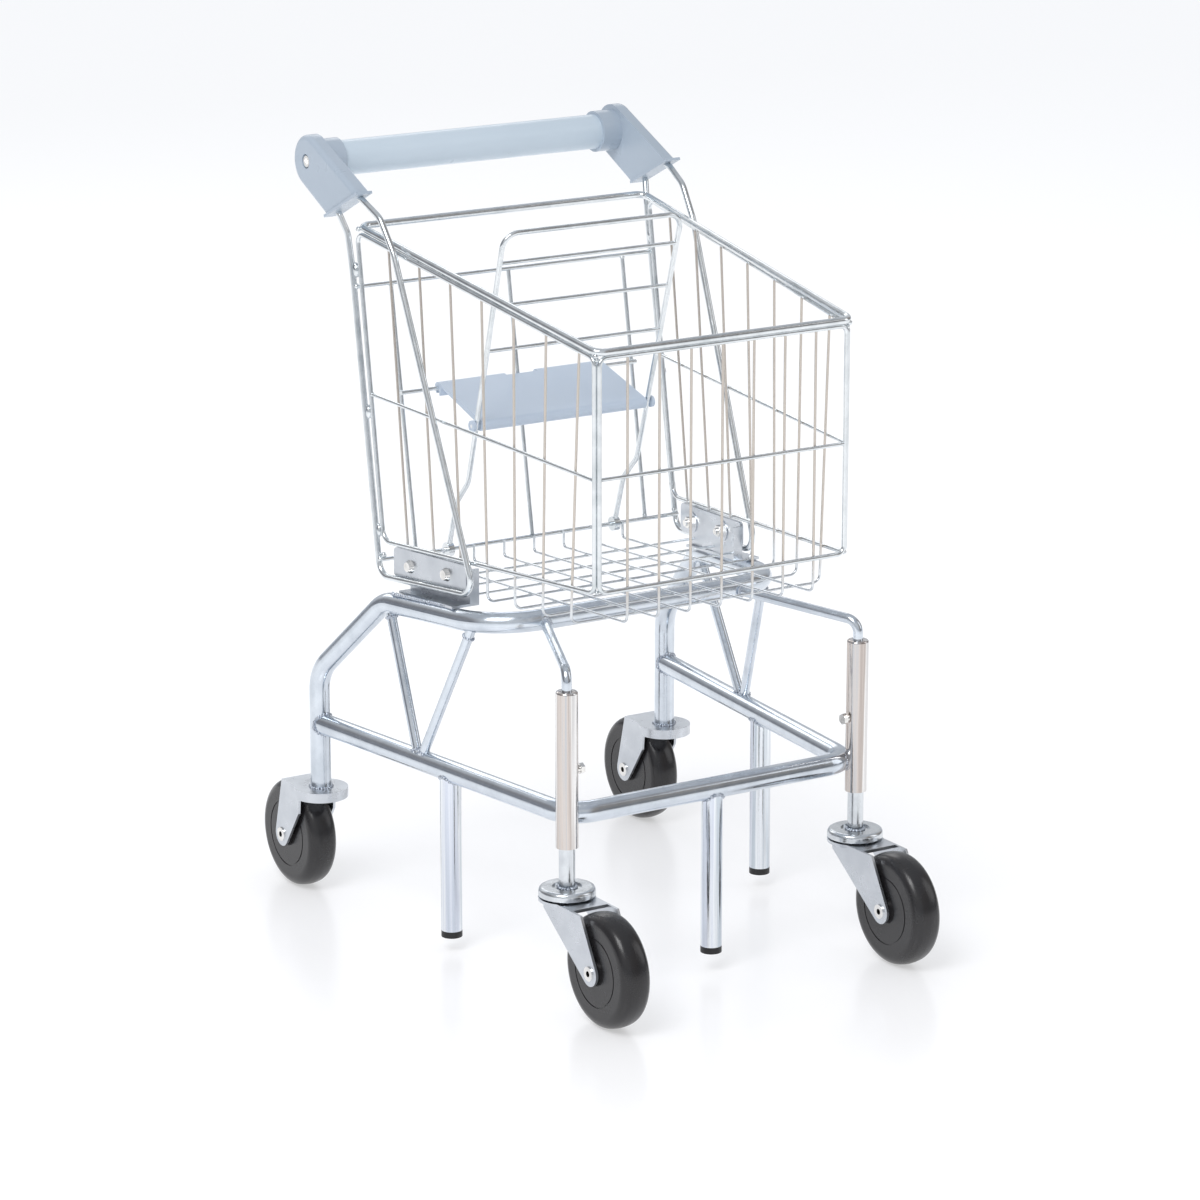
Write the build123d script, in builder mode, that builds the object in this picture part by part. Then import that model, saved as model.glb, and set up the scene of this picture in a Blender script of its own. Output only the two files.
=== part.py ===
"""Child's steel-wire shopping cart with a folding doll seat, as an assembly of separate pieces.

Frame: +Z up, X across the cart, front towards -Y, handle at +Y, wheels on Z = 0. Millimetres.
"""
from build123d import *
import math
import os

os.makedirs("parts", exist_ok=True)

# ---------------------------------------------------------------- driving dimensions
# wheels and casters
WHEEL_RADIUS = 42.5
WHEEL_WIDTH = 24.0
HUB_WIDTH = 27.0
HUB_RADIUS = 10.0
BUSH_RADIUS = 5.5
AXLE_RADIUS = 4.0
RUNNING_GAP = 0.05
FORK_INNER = 14.5
FORK_SHEET = 2.0
FORK_TIP_RADIUS = 9.5

FRONT_STEM_X = 127.6
FRONT_STEM_Y = -145.0
FRONT_AXLE_Y = -200.6
RACE_RADIUS = 21.0
RACE_GAP_Z = 83.0
RACE_TOP_Z = 90.0
FORK_TOP_Z = 82.4
STEM_RADIUS = 6.0

REAR_LEG_X = 158.6
REAR_LEG_Y = 165.3
REAR_AXLE_Y = 200.6
REAR_PLATE_TOP = 88.2
REAR_PLATE_RADIUS = 21.0

# base tubes
UPPER_TUBE = 16.0
UPPER_BORE = 13.4
RING_TUBE = 16.4
RING_BORE = 13.8
RING_REAR_Z = 139.7
RING_FRONT_Z = 142.0
RING_FRONT_Y = -142.0
RING_CORNER_X = 123.6
LEG_TUBE = 16.0
LEG_BORE = 13.2
SLEEVE_OD = 16.5
SLEEVE_BORE = 12.4
SLEEVE_BOTTOM = 119.6
SLEEVE_TOP = 236.9
STAY_ROD = 7.5
BRACE_ROD = 7.5

# basket wires
RIM_WIRE = 5.5
FRAME_WIRE = 3.5
LOOP_WIRE = 4.8
CROSS_WIRE = 3.2
RAIL_WIRE = 2.8
THIN_WIRE = 2.0
SEAT_WIRE = 4.0

# handle
HANDLE_Y = 203.0
HANDLE_Z = 570.0
GRIP_RADIUS = 13.5
GRIP_HALF = 115.0
COLLAR_RADIUS = 16.0
CAP_INNER_X = 131.5
CAP_OUTER_X = 142.5
CAP_END_RADIUS = 20.0
CORE_RADIUS = 10.0


# ---------------------------------------------------------------- helpers
def save(part, name):
    """Label one finished piece and write its STEP file."""
    part.label = name
    export_step(part, f"parts/{name}.step")


def save_pair(part, name):
    """Write a right-hand piece and its left-hand mirror image."""
    save(part, f"{name}_right")
    save(mirror(part, about=Plane.YZ), f"{name}_left")


def between(a, b, t):
    """Point a fraction t of the way from a to b."""
    return tuple(p + (q - p) * t for p, q in zip(a, b))


def at_y(a, b, y):
    """Point with the given Y on the line through a and b."""
    return between(a, b, (y - a[1]) / (b[1] - a[1]))


def at_z(a, b, z):
    """Point with the given Z on the line through a and b."""
    return between(a, b, (z - a[2]) / (b[2] - a[2]))


def mirrored(points):
    """The same points reflected in the middle plane of the cart."""
    return [(-x, y, z) for x, y, z in points]


def across(points):
    """Points of the right half followed back down by their mirror images."""
    return points + mirrored(points)[::-1]


def side_plane(x):
    """Plane across the cart at x, with its own X along the cart and its own Y up."""
    return Plane(origin=(x, 0, 0), x_dir=(0, 1, 0), z_dir=(1, 0, 0))


def sweep_round(path, diameter, bore):
    """Sweep a round bar or tube along a path into the part being built."""
    with BuildSketch(Plane(origin=path @ 0, z_dir=path % 0)) as section:
        Circle(diameter / 2)
        if bore:
            Circle(bore / 2, mode=Mode.SUBTRACT)
    sweep(sections=section.sketch, path=path)


def straight_rod(start, end, diameter, bore=0.0):
    """Straight round bar or tube, added to the part being built."""
    sweep_round(Edge.make_line(start, end), diameter, bore)


def bent_rod(points, bends, diameter, bore=0.0, close=False):
    """Round bar or tube along straight runs joined by bends, added to the part being built."""
    with BuildLine() as path:
        FilletPolyline(*points, radius=bends, close=close)
    sweep_round(path.wire(), diameter, bore)


# ---------------------------------------------------------------- base frame
LEG_FOOT = (REAR_LEG_X, REAR_LEG_Y, REAR_PLATE_TOP)
LEG_BEND = (REAR_LEG_X, REAR_LEG_Y, 181.0)
RUN_REAR = (141.5, 91.0, 251.0)
RUN_FRONT = (127.5, -43.0, 260.0)
UPPER_PATH = across([LEG_FOOT, LEG_BEND, RUN_REAR, RUN_FRONT])
UPPER_BENDS = [34, 30, 46, 46, 30, 34]

with BuildPart() as base_upper_tube:
    bent_rod(UPPER_PATH, UPPER_BENDS, UPPER_TUBE, UPPER_BORE)
save(base_upper_tube.part, "base_upper_tube")

# solid outlines used to cope the ends of whatever is welded to the two tubes
with BuildPart() as upper_outline:
    bent_rod(UPPER_PATH, UPPER_BENDS, UPPER_TUBE)

RING_REAR = (REAR_LEG_X - 0.5, REAR_LEG_Y - 4.0, RING_REAR_Z)
RING_FRONT = (RING_CORNER_X, RING_FRONT_Y, RING_FRONT_Z)
RING_PATH = across([RING_REAR, RING_FRONT])
RING_BEND = 23.0

with BuildPart() as ring_outline:
    bent_rod(RING_PATH, RING_BEND, RING_TUBE)

with BuildPart() as base_lower_ring:
    bent_rod(RING_PATH, RING_BEND, RING_TUBE, RING_BORE)
    add(upper_outline.part, mode=Mode.SUBTRACT)
    for x in (-FRONT_STEM_X, FRONT_STEM_X):
        with Locations((x, FRONT_STEM_Y, RING_FRONT_Z)):
            Cylinder(SLEEVE_OD / 2, 4 * RING_TUBE, mode=Mode.SUBTRACT)
save(base_lower_ring.part, "base_lower_ring")

SLEEVE_CAP = 9.0
SLEEVE_EDGE = 1.8
SET_SCREW_Z = 177.0
SET_SCREW_RADIUS = 2.5
SET_SCREW_STEP = 4.3

with BuildPart(Plane.XY.offset(SLEEVE_BOTTOM)) as front_sleeve:
    with Locations((FRONT_STEM_X, FRONT_STEM_Y)):
        Cylinder(
            SLEEVE_OD / 2, SLEEVE_TOP - SLEEVE_BOTTOM, align=(Align.CENTER, Align.CENTER, Align.MIN)
        )
    fillet(front_sleeve.edges().group_by(Axis.Z)[-1], SLEEVE_EDGE)
    with Locations((FRONT_STEM_X, FRONT_STEM_Y)):
        Cylinder(
            SLEEVE_BORE / 2,
            SLEEVE_TOP - SLEEVE_BOTTOM - SLEEVE_CAP,
            align=(Align.CENTER, Align.CENTER, Align.MIN),
            mode=Mode.SUBTRACT,
        )
        Cylinder(
            STAY_ROD / 2,
            SLEEVE_TOP - SLEEVE_BOTTOM,
            align=(Align.CENTER, Align.CENTER, Align.MIN),
            mode=Mode.SUBTRACT,
        )
    with BuildSketch(Plane((FRONT_STEM_X, FRONT_STEM_Y, SET_SCREW_Z), z_dir=(-1, 0, 0))):
        Circle(SET_SCREW_RADIUS)
    extrude(amount=SLEEVE_OD, mode=Mode.SUBTRACT)
save_pair(front_sleeve.part, "front_sleeve")

# hexagon-headed screws that clamp the caster stems inside their sleeves
with BuildPart() as set_screws:
    with BuildSketch(Plane((FRONT_STEM_X - STEM_RADIUS, FRONT_STEM_Y, SET_SCREW_Z), z_dir=(-1, 0, 0))):
        Circle(SET_SCREW_RADIUS)
    extrude(amount=SET_SCREW_STEP)
    with BuildSketch(set_screws.faces().sort_by(Axis.X)[0]):
        RegularPolygon(4.2, 6)
    extrude(amount=3.2)
    mirror(about=Plane.YZ)
save(set_screws.part, "set_screws")

STAY_START = (84.0, RUN_FRONT[1], 259.0)
STAY_TOP = (FRONT_STEM_X, FRONT_STEM_Y, 251.0)
STAY_END = (FRONT_STEM_X, FRONT_STEM_Y, SLEEVE_TOP - SLEEVE_CAP + 0.5)
STAY_BEND = 10.0

with BuildPart() as stay_rod:
    bent_rod([STAY_START, STAY_TOP, STAY_END], STAY_BEND, STAY_ROD)
    add(upper_outline.part, mode=Mode.SUBTRACT)
save_pair(stay_rod.part, "stay_rod")

# two struts on each side make a V from the ring up to the upper tube
BRACES = [
    ((145.9, 36.6, 145.0), (140.4, 86.6, 248.2)),
    ((145.4, 31.4, 145.0), (129.6, -16.6, 254.0)),
]

with BuildPart() as braces:
    for foot, head in BRACES:
        straight_rod(foot, head, BRACE_ROD)
    add(upper_outline.part, mode=Mode.SUBTRACT)
    add(ring_outline.part, mode=Mode.SUBTRACT)
    mirror(about=Plane.YZ)
save(braces.part, "braces")

# anti-tip legs hang from the ring and stop just above the floor
SIDE_LEG_Y = -0.5
SIDE_LEG_FOOT = 11.5
CENTRE_LEG_FOOT = 15.0
FOOT_PAD = 5.0
FOOT_PLUG = 14.0
SIDE_LEG = at_y(RING_REAR, RING_FRONT, SIDE_LEG_Y)
CENTRE_LEG = (0.0, RING_FRONT_Y, RING_FRONT_Z)


def make_anti_tip_leg(top, foot):
    """Short tube with its top end coped to the underside of the ring."""
    with BuildPart() as leg:
        straight_rod((top[0], top[1], foot + FOOT_PAD), top, LEG_TUBE, LEG_BORE)
        add(ring_outline.part, mode=Mode.SUBTRACT)
        with Locations((top[0], top[1], top[2] + RING_TUBE / 4)):
            Box(2 * LEG_TUBE, 2 * LEG_TUBE, RING_TUBE, align=(Align.CENTER, Align.CENTER, Align.MIN),
                mode=Mode.SUBTRACT)
    return leg.part


save_pair(make_anti_tip_leg(SIDE_LEG, SIDE_LEG_FOOT), "anti_tip_leg")
save(make_anti_tip_leg(CENTRE_LEG, CENTRE_LEG_FOOT), "anti_tip_leg_centre")

# plastic end caps: a pad under each tube and a plug inside it
with BuildPart() as foot_caps:
    for x, y, foot in (
        (SIDE_LEG[0], SIDE_LEG_Y, SIDE_LEG_FOOT),
        (-SIDE_LEG[0], SIDE_LEG_Y, SIDE_LEG_FOOT),
        (0.0, RING_FRONT_Y, CENTRE_LEG_FOOT),
    ):
        with Locations((x, y, foot)):
            Cylinder(LEG_TUBE / 2, FOOT_PAD, align=(Align.CENTER, Align.CENTER, Align.MIN))
        with Locations((x, y, foot + FOOT_PAD)):
            Cylinder(LEG_BORE / 2, FOOT_PLUG, align=(Align.CENTER, Align.CENTER, Align.MIN))
save(foot_caps.part, "foot_caps")


# ---------------------------------------------------------------- casters
TREAD_ROUND = 8.0
TREAD_TURN = 77
TREAD_CROWN = 0.7
GROOVE_INNER = 25.0
GROOVE_OUTER = 26.2
GROOVE_DEPTH = 0.5


def make_wheel(x, y):
    """Moulded wheel: flat faces with one shallow ring groove, a raised hub and a crowned tread."""
    face = WHEEL_WIDTH / 2
    shoulder = WHEEL_RADIUS - TREAD_CROWN - TREAD_ROUND * math.sin(math.radians(TREAD_TURN))
    with BuildPart() as wheel:
        with BuildSketch(Plane(origin=(x, y, WHEEL_RADIUS), x_dir=(1, 0, 0), z_dir=(0, -1, 0))):
            with BuildLine():
                hub = Polyline(
                    (0, BUSH_RADIUS),
                    (-HUB_WIDTH / 2, BUSH_RADIUS),
                    (-HUB_WIDTH / 2, HUB_RADIUS),
                    (-face, HUB_RADIUS),
                    (-face, GROOVE_INNER),
                    (-face + GROOVE_DEPTH, GROOVE_INNER),
                    (-face + GROOVE_DEPTH, GROOVE_OUTER),
                    (-face, GROOVE_OUTER),
                    (-face, shoulder),
                )
                round_edge = JernArc(hub @ 1, (0, 1), TREAD_ROUND, -TREAD_TURN)
                TangentArc(round_edge @ 1, (0, WHEEL_RADIUS), tangent=round_edge % 1)
                mirror(about=Plane.YZ)
            make_face()
        revolve(axis=Axis((x, y, WHEEL_RADIUS), (1, 0, 0)))
    return wheel.part


def make_bush(x, y):
    """Steel tube pressed through the hub, which turns on the axle."""
    with BuildPart() as bush:
        with BuildSketch(side_plane(x - HUB_WIDTH / 2)):
            with Locations((y, WHEEL_RADIUS)):
                Circle(BUSH_RADIUS)
                Circle(AXLE_RADIUS + RUNNING_GAP, mode=Mode.SUBTRACT)
        extrude(amount=HUB_WIDTH)
    return bush.part


RIVET_BORE = 2.2
RIVET_HEAD_RADIUS = 5.4
RIVET_HEAD = 1.0


def make_axle(x, y):
    """Tubular rivet through both fork cheeks, with a flared head at each end."""
    half = FORK_INNER + FORK_SHEET
    with BuildPart() as axle:
        with BuildSketch(side_plane(x - half)):
            with Locations((y, WHEEL_RADIUS)):
                Circle(AXLE_RADIUS)
        extrude(amount=2 * half)
        for start in (x - half - RIVET_HEAD, x + half):
            with BuildSketch(side_plane(start)):
                with Locations((y, WHEEL_RADIUS)):
                    Circle(RIVET_HEAD_RADIUS)
            extrude(amount=RIVET_HEAD)
        with BuildSketch(side_plane(x - half - RIVET_HEAD)):
            with Locations((y, WHEEL_RADIUS)):
                Circle(RIVET_BORE)
        extrude(amount=2 * half + 2 * RIVET_HEAD, mode=Mode.SUBTRACT)
    return axle.part


def fork_cheeks(x, axle_y, corners):
    """Both side plates of a fork, each the hull of its top corners and the round tip at the axle."""
    for start in (x - FORK_INNER - FORK_SHEET, x + FORK_INNER):
        with BuildSketch(side_plane(start)) as cheek:
            with Locations((axle_y, WHEEL_RADIUS)):
                Circle(FORK_TIP_RADIUS)
            Polygon(*corners, align=None)
            make_hull()
        extrude(cheek.sketch, amount=FORK_SHEET)


def axle_hole(x, axle_y):
    """Hole through both cheeks for the rivet."""
    with BuildSketch(side_plane(x - 2 * FORK_INNER)) as hole:
        with Locations((axle_y, WHEEL_RADIUS)):
            Circle(AXLE_RADIUS)
    extrude(hole.sketch, amount=4 * FORK_INNER, mode=Mode.SUBTRACT)


FORK_PLATE = 2.4
FRONT_PLATE_END = -176.0
FRONT_CHEEK = [(-139.0, 82.4), (-189.0, 82.4), (-139.0, 75.0)]
BALL_RADIUS = 2.0
BALL_CIRCLE = 15.0
BALL_COUNT = 16
BALL_GAP = 0.06
KINGPIN_RADIUS = 4.0


def make_front_fork(x):
    """Swivel fork: lower ball race, top plate and two tapering cheeks that reach forward."""
    plane = Plane.XY.offset(FORK_TOP_Z - FORK_PLATE)
    width = 2 * (FORK_INNER + FORK_SHEET)
    with BuildPart() as fork:
        with BuildSketch(plane):
            with Locations((x, FRONT_STEM_Y)):
                Circle(RACE_RADIUS)
            with Locations((x, FRONT_PLATE_END)):
                Rectangle(width, FRONT_STEM_Y - FRONT_PLATE_END, align=(Align.CENTER, Align.MIN))
        extrude(amount=FORK_PLATE)
        fork_cheeks(x, FRONT_AXLE_Y, FRONT_CHEEK)
        axle_hole(x, FRONT_AXLE_Y)
        with BuildSketch(plane):
            with Locations((x, FRONT_STEM_Y)):
                Circle(KINGPIN_RADIUS + RUNNING_GAP)
        extrude(amount=FORK_PLATE, mode=Mode.SUBTRACT)
        with Locations((x, FRONT_STEM_Y, RACE_GAP_Z)):
            Torus(BALL_CIRCLE, BALL_RADIUS + BALL_GAP, mode=Mode.SUBTRACT)
    return fork.part


RACE_BOTTOM_Z = 83.6
RACE_DISH_RADIUS = 11.0
RACE_DISH = 1.4
STEM_TOP_Z = 226.0
RIVET_FOOT_Z = 78.0


def make_front_stem(x):
    """Plain stem welded into the upper race cup, with the kingpin riveted over below."""
    bottom = (Align.CENTER, Align.CENTER, Align.MIN)
    with BuildPart() as stem:
        with Locations((x, FRONT_STEM_Y, RACE_BOTTOM_Z)):
            Cylinder(RACE_RADIUS, RACE_TOP_Z - RACE_BOTTOM_Z, align=bottom)
        fillet(stem.edges().group_by(Axis.Z)[-1], 3.0)
        fillet(stem.edges().group_by(Axis.Z)[0], 0.6)
        with Locations((x, FRONT_STEM_Y, RACE_TOP_Z - RACE_DISH)):
            Cylinder(RACE_DISH_RADIUS, RACE_DISH, align=bottom, mode=Mode.SUBTRACT)
        with Locations((x, FRONT_STEM_Y, RACE_GAP_Z)):
            Torus(BALL_CIRCLE, BALL_RADIUS + BALL_GAP, mode=Mode.SUBTRACT)
        with Locations((x, FRONT_STEM_Y, RACE_BOTTOM_Z)):
            Cylinder(STEM_RADIUS, STEM_TOP_Z - RACE_BOTTOM_Z, align=bottom)
        with Locations((x, FRONT_STEM_Y, RIVET_FOOT_Z)):
            Cylinder(KINGPIN_RADIUS, RACE_BOTTOM_Z - RIVET_FOOT_Z + 1, align=bottom)
            Cylinder(KINGPIN_RADIUS + 2.5, 1.6, align=bottom)
    return stem.part


REAR_PLATE = 2.2
REAR_LIP = 5.3
REAR_LIP_SHEET = 2.2
REAR_PLATE_END = 199.0
REAR_CHEEK = [(171.0, 88.2), (199.0, 88.2), (173.0, 66.0)]


def make_rear_fork(x):
    """Rigid fork: round plate welded under the leg, with a turned-down lip and two cheeks."""
    plane = Plane.XY.offset(REAR_PLATE_TOP - REAR_PLATE)
    width = 2 * (FORK_INNER + FORK_SHEET)
    with BuildPart() as fork:
        with BuildSketch(plane):
            with Locations((x, REAR_LEG_Y)):
                Circle(REAR_PLATE_RADIUS)
            with Locations((x, REAR_PLATE_END)):
                Rectangle(width, REAR_PLATE_END - REAR_LEG_Y, align=(Align.CENTER, Align.MAX))
        extrude(amount=REAR_PLATE)
        fork_cheeks(x, REAR_AXLE_Y, REAR_CHEEK)
        with BuildSketch(plane.offset(-REAR_LIP)):
            with Locations((x, REAR_LEG_Y)):
                Circle(REAR_PLATE_RADIUS)
                Circle(REAR_PLATE_RADIUS - REAR_LIP_SHEET, mode=Mode.SUBTRACT)
                Rectangle(
                    3 * REAR_PLATE_RADIUS,
                    2 * REAR_PLATE_RADIUS,
                    align=(Align.CENTER, Align.MIN),
                    mode=Mode.SUBTRACT,
                )
        extrude(amount=REAR_LIP + REAR_PLATE / 2)
        axle_hole(x, REAR_AXLE_Y)
    return fork.part


save_pair(make_front_stem(FRONT_STEM_X), "front_caster_stem")
save_pair(make_front_fork(FRONT_STEM_X), "front_fork")
save_pair(make_rear_fork(REAR_LEG_X), "rear_fork")
for row, axle_x, axle_y in (("front", FRONT_STEM_X, FRONT_AXLE_Y), ("rear", REAR_LEG_X, REAR_AXLE_Y)):
    save_pair(make_axle(axle_x, axle_y), f"{row}_axle")
    save_pair(make_wheel(axle_x, axle_y), f"{row}_wheel")
    save_pair(make_bush(axle_x, axle_y), f"{row}_bush")

# loose ball rings between the two plates of each swivel
with BuildPart() as race_balls:
    for x in (-FRONT_STEM_X, FRONT_STEM_X):
        with Locations((x, FRONT_STEM_Y, RACE_GAP_Z)):
            with PolarLocations(BALL_CIRCLE, BALL_COUNT):
                Sphere(BALL_RADIUS)
save(race_balls.part, "race_balls")

# ---------------------------------------------------------------- basket
RIM_REAR = (127.0, 149.3, 527.5)
RIM_FRONT = (109.1, -156.5, 483.4)
RIM_BEND = 8.0
FRAME_BEND = 6.0
SIDE_TOP_REAR = (130.25, 146.5, 523.5)
SIDE_TOP_FRONT = (109.0, -152.6, 478.8)
SIDE_LOW_FRONT = (108.9, -152.6, 308.0)
SIDE_LOW_REAR = (131.0, 111.0, 292.3)
SIDE_LOOP = [
    between(SIDE_TOP_REAR, SIDE_TOP_FRONT, 0.5),
    SIDE_TOP_FRONT,
    SIDE_LOW_FRONT,
    SIDE_LOW_REAR,
    SIDE_TOP_REAR,
    between(SIDE_TOP_REAR, SIDE_TOP_FRONT, 0.4999),
]
SIDE_BENDS = [FRAME_BEND, FRAME_BEND, 10.0, FRAME_BEND]
FRONT_FACE_Y = -155.05
FRONT_FRAME_X = 106.35
FRONT_FRAME_TOP = 479.1
FRONT_FRAME_LOW = 308.0

with BuildPart() as basket_rim:
    bent_rod(across([RIM_REAR, RIM_FRONT]), RIM_BEND, RIM_WIRE, close=True)
save(basket_rim.part, "basket_rim")

with BuildPart() as basket_side_frame:
    bent_rod(SIDE_LOOP, SIDE_BENDS, FRAME_WIRE)
save_pair(basket_side_frame.part, "basket_side_frame")

FRONT_CORNERS = [
    (FRONT_FRAME_X, FRONT_FACE_Y, FRONT_FRAME_TOP),
    (FRONT_FRAME_X, FRONT_FACE_Y, FRONT_FRAME_LOW),
]

with BuildPart() as basket_front_frame:
    bent_rod(across(FRONT_CORNERS), FRAME_BEND, FRAME_WIRE, close=True)
save(basket_front_frame.part, "basket_front_frame")

# rail half way up the two sides and the front
SIDE_RAIL = [(130.3, 126.2, 402.7), (108.9, -150.8, 390.6)]
FRONT_RAIL_END = (FRONT_FRAME_X - FRAME_WIRE / 2, FRONT_FACE_Y + 0.25, 391.0)

with BuildPart() as basket_mid_rails:
    straight_rod(*SIDE_RAIL, RAIL_WIRE)
    mirror(about=Plane.YZ)
    straight_rod(*across([FRONT_RAIL_END]), RAIL_WIRE)
save(basket_mid_rails.part, "basket_mid_rails")

# thin wires stand just inside the frames
INSET = 2.66
WIRE_OVERRUN = 1.0
SHORT_WIRES = [(109.0, 83.0), (69.0, 49.0), (29.0, 15.0)]
LONG_WIRES = [(-11.0, -19.0), (-51.0, -53.0), (-91.0, -87.0), (-131.0, -121.0)]
CROSS_DROP = 2.02
CROSS_BEND = 6.0


def floor_z(y):
    """Height of the wires that run along the basket floor."""
    return 273.1 - 0.06 * y


def wire_top(y):
    """Top end of a side wire, behind the upper rail of the side frame."""
    x, y, z = at_y(SIDE_TOP_REAR, SIDE_TOP_FRONT, y)
    return (x - INSET, y, z)


def wire_low(y):
    """Point where a side wire passes behind the lower rail of the side frame."""
    x, y, z = at_y(SIDE_LOW_REAR, SIDE_LOW_FRONT, y)
    return (x - INSET, y, z - WIRE_OVERRUN)


with BuildPart() as basket_side_wires:
    for top_y, low_y in SHORT_WIRES:
        straight_rod(wire_top(top_y), wire_low(low_y), THIN_WIRE)
    mirror(about=Plane.YZ)
save(basket_side_wires.part, "basket_side_wires")

# the other side wires turn under the basket and cross it in one piece
with BuildPart() as basket_cross_wires:
    for top_y, low_y in LONG_WIRES:
        x, y, z = wire_low(low_y)
        bent_rod(across([wire_top(top_y), (x, y, floor_z(y) - CROSS_DROP)]), CROSS_BEND, THIN_WIRE)
save(basket_cross_wires.part, "basket_cross_wires")

LOW_CROSS_Y = 109.6
LOW_CROSS_Z = 278.4
FRONT_WIRE_PITCH = 27.0
FRONT_WIRE_Y = FRONT_FACE_Y + INSET
FLOOR_END_Y = LOW_CROSS_Y - (CROSS_WIRE + THIN_WIRE) / 2 + 0.03
FLOOR_END_BEND = 3.0

with BuildPart() as basket_front_wires:
    for step in range(-3, 4):
        x = step * FRONT_WIRE_PITCH
        bent_rod(
            [
                (x, FRONT_WIRE_Y, FRONT_FRAME_TOP + WIRE_OVERRUN),
                (x, FRONT_WIRE_Y, floor_z(FRONT_WIRE_Y)),
                (x, FLOOR_END_Y, floor_z(FLOOR_END_Y)),
                (x, FLOOR_END_Y, LOW_CROSS_Z + WIRE_OVERRUN),
            ],
            [CROSS_BEND, FLOOR_END_BEND],
            THIN_WIRE,
        )
save(basket_front_wires.part, "basket_front_wires")

# clamp plates and brackets stand in a plane that follows the taper of the basket
CLAMP_X = 123.45
CLAMP_SLOPE = 0.0737
SHEET = 2.0
FLOOR_ROWS = [75.0, 40.0, 10.0]

with BuildPart() as basket_floor_wires:
    for y in FLOOR_ROWS:
        half = CLAMP_X + CLAMP_SLOPE * y - 2 * SHEET - 0.08
        z = floor_z(y) - CROSS_DROP
        straight_rod((-half, y, z), (half, y, z), THIN_WIRE)
save(basket_floor_wires.part, "basket_floor_wires")

# ---------------------------------------------------------------- rear of the basket
LOW_CROSS = (134.0, LOW_CROSS_Y, LOW_CROSS_Z)
HIGH_CROSS = (132.5, 143.65, 482.7)
SEAT_BAR_Y = 126.65
SEAT_BAR_Z = 400.9
SEAT_BAR_WIRE = 3.4
SEAT_BAR_X = 105.5
GATE_WIRES = (-103.5, 0.0, 103.5)
GATE_END = 0.0075

with BuildPart() as rear_cross_wires:
    for x, y, z in (LOW_CROSS, HIGH_CROSS):
        straight_rod((-x, y, z), (x, y, z), CROSS_WIRE)
    straight_rod((-SEAT_BAR_X, SEAT_BAR_Y, SEAT_BAR_Z), (SEAT_BAR_X, SEAT_BAR_Y, SEAT_BAR_Z), SEAT_BAR_WIRE)
save(rear_cross_wires.part, "rear_cross_wires")

with BuildPart() as gate_wires:
    for x in GATE_WIRES:
        low = (x, LOW_CROSS_Y, LOW_CROSS_Z)
        high = (x, HIGH_CROSS[1], HIGH_CROSS[2])
        straight_rod(between(low, high, GATE_END), between(low, high, 1 - GATE_END), CROSS_WIRE)
save(gate_wires.part, "gate_wires")

# ---------------------------------------------------------------- handle loops and brackets
LOOP_PATH = [
    (137.0, 152.0, 557.0),
    (136.6, 127.0, 551.7),
    (134.2, 105.0, 541.0),
    (132.7, 88.0, 517.0),
    (125.0, -13.0, 276.0),
    (134.1, 111.4, 265.5),
    (132.9, 149.8, 495.0),
    (133.5, 155.0, 521.0),
    (137.0, 162.0, 536.0),
    (137.0, 176.0, 549.0),
]
LOOP_BENDS = [8, 16, 24, 12, 12, 40, 20, 8]

with BuildPart() as handle_loop:
    bent_rod(LOOP_PATH, LOOP_BENDS, LOOP_WIRE)
save_pair(handle_loop.part, "handle_loop")


def clamp_plane(inset):
    """Plane of the clamp plate's outer face, moved inwards by inset."""
    plane = Plane(origin=(CLAMP_X, 0, 0), x_dir=(CLAMP_SLOPE, 1, 0), z_dir=(1, -CLAMP_SLOPE, 0))
    return plane.offset(-inset)


CLAMP_OUTLINE = [(2.0, 276.7), (97.0, 267.6), (97.0, 291.0), (2.0, 295.7)]
CLAMP_CORNER = 4.0
BOLTS = [(75.0, 280.0), (27.4, 284.0)]
BOLT_RADIUS = 2.5
BOLT_HEAD = 5.2
BOLT_DOME = 3.4
BOLT_LENGTH = 11.0
NUT_RADIUS = 4.7
NUT_HEIGHT = 4.0

with BuildPart() as clamp_plate:
    with BuildSketch(clamp_plane(0)) as outline:
        Polygon(*CLAMP_OUTLINE, align=None)
        fillet(outline.vertices(), CLAMP_CORNER)
        with Locations(*BOLTS):
            Circle(BOLT_RADIUS, mode=Mode.SUBTRACT)
    extrude(amount=-SHEET)
save_pair(clamp_plate.part, "clamp_plate")

# inner bracket: upright plate, turned-in front flange and a foot welded along the upper tube
RUN_SLOPE = (RUN_REAR[2] - RUN_FRONT[2]) / (RUN_REAR[1] - RUN_FRONT[1])
BRACKET_TOP = [(78.0, 292.4), (0.0, 296.0)]
BRACKET_FRONT_Y = 0.0
BRACKET_REAR_Y = 78.0
FLANGE_DEPTH = 8.0
FOOT_REACH = 1.5
PAD_RADIUS = 8.0
PAD_HEIGHT = 0.8


def tube_top(y):
    """Height of the top of the upper tube's side run."""
    return RUN_FRONT[2] + RUN_SLOPE * (y - RUN_FRONT[1]) + UPPER_TUBE / 2


def bracket_x(y, inset):
    """X of the bracket's upright plate."""
    return CLAMP_X + CLAMP_SLOPE * y - inset


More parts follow.
